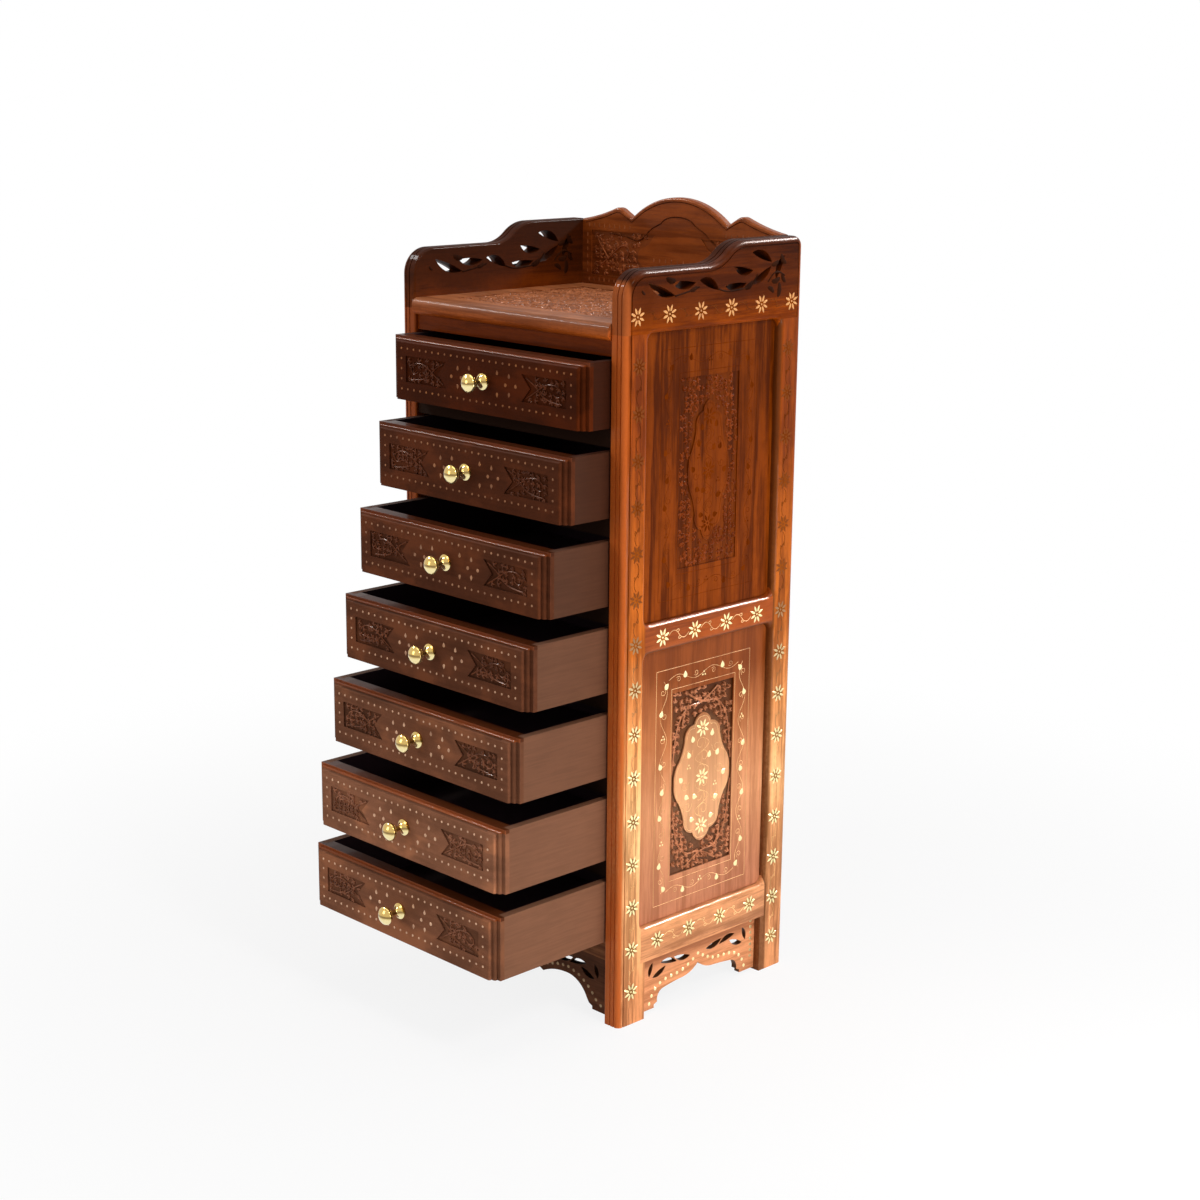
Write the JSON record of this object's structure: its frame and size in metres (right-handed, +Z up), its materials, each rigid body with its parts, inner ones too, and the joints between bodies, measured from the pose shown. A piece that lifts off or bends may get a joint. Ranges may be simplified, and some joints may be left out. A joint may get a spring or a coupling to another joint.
{
  "type": "chest of drawers",
  "caption": "Tall narrow carved and inlaid hardwood chest with sliding drawers, turned brass knobs, panelled sides, a pierced gallery round the top and scalloped aprons.",
  "frame": {"origin": "on the floor, in the middle of the four posts' footprint", "axes": "+X to the right as seen from the front, -Y out of the front, +Z up"},
  "size_m": [0.381, 0.4891, 0.94],
  "materials": {
    "case_wood": "glossy lacquered sheesham",
    "front_wood": "carved, waxed sheesham",
    "drawer_wood": "plain sawn softwood",
    "inner_wood": "unpolished",
    "knob_brass": "polished"
  },
  "bodies": {
    "case": {"front_post_right": "case_wood", "back_post_right": "case_wood", "gallery_right": "case_wood", "middle_rail_right": "case_wood", "bottom_rail_right": "case_wood", "upper_panel_right": "case_wood", "lower_panel_right": "case_wood", "side_apron_right": "case_wood", "front_post_left": "case_wood", "back_post_left": "case_wood", "gallery_left": "case_wood", "middle_rail_left": "case_wood", "bottom_rail_left": "case_wood", "upper_panel_left": "case_wood", "lower_panel_left": "case_wood", "side_apron_left": "case_wood", "top_board": "case_wood", "crest_board": "case_wood", "frieze_rail": "case_wood", "base_rail": "case_wood", "drawer_dividers": "case_wood", "drawer_runners": "inner_wood", "front_apron": "case_wood", "back_rail": "inner_wood", "back_panel": "inner_wood"},
    "drawer_1": {"drawer_1_front": "front_wood", "drawer_1_sides": "drawer_wood", "drawer_1_back": "drawer_wood", "drawer_1_bottom": "drawer_wood", "drawer_1_knob": "knob_brass"},
    "drawer_2": {"drawer_2_front": "front_wood", "drawer_2_sides": "drawer_wood", "drawer_2_back": "drawer_wood", "drawer_2_bottom": "drawer_wood", "drawer_2_knob": "knob_brass"},
    "drawer_3": {"drawer_3_front": "front_wood", "drawer_3_sides": "drawer_wood", "drawer_3_back": "drawer_wood", "drawer_3_bottom": "drawer_wood", "drawer_3_knob": "knob_brass"},
    "drawer_4": {"drawer_4_front": "front_wood", "drawer_4_sides": "drawer_wood", "drawer_4_back": "drawer_wood", "drawer_4_bottom": "drawer_wood", "drawer_4_knob": "knob_brass"},
    "drawer_5": {"drawer_5_front": "front_wood", "drawer_5_sides": "drawer_wood", "drawer_5_back": "drawer_wood", "drawer_5_bottom": "drawer_wood", "drawer_5_knob": "knob_brass"},
    "drawer_6": {"drawer_6_front": "front_wood", "drawer_6_sides": "drawer_wood", "drawer_6_back": "drawer_wood", "drawer_6_bottom": "drawer_wood", "drawer_6_knob": "knob_brass"},
    "drawer_7": {"drawer_7_front": "front_wood", "drawer_7_sides": "drawer_wood", "drawer_7_back": "drawer_wood", "drawer_7_bottom": "drawer_wood", "drawer_7_knob": "knob_brass"}
  },
  "joints": [
    {"name": "drawer_1_slide", "type": "slide", "parent": "case", "child": "drawer_1", "axis": [0, -1, 0], "range_m": [-0.023, 0.187]},
    {"name": "drawer_2_slide", "type": "slide", "parent": "case", "child": "drawer_2", "axis": [0, -1, 0], "range_m": [-0.0497, 0.1603]},
    {"name": "drawer_3_slide", "type": "slide", "parent": "case", "child": "drawer_3", "axis": [0, -1, 0], "range_m": [-0.0804, 0.1296]},
    {"name": "drawer_4_slide", "type": "slide", "parent": "case", "child": "drawer_4", "axis": [0, -1, 0], "range_m": [-0.1049, 0.1051]},
    {"name": "drawer_5_slide", "type": "slide", "parent": "case", "child": "drawer_5", "axis": [0, -1, 0], "range_m": [-0.1252, 0.0848]},
    {"name": "drawer_6_slide", "type": "slide", "parent": "case", "child": "drawer_6", "axis": [0, -1, 0], "range_m": [-0.1464, 0.0636]},
    {"name": "drawer_7_slide", "type": "slide", "parent": "case", "child": "drawer_7", "axis": [0, -1, 0], "range_m": [-0.1541, 0.0559]}
  ]
}
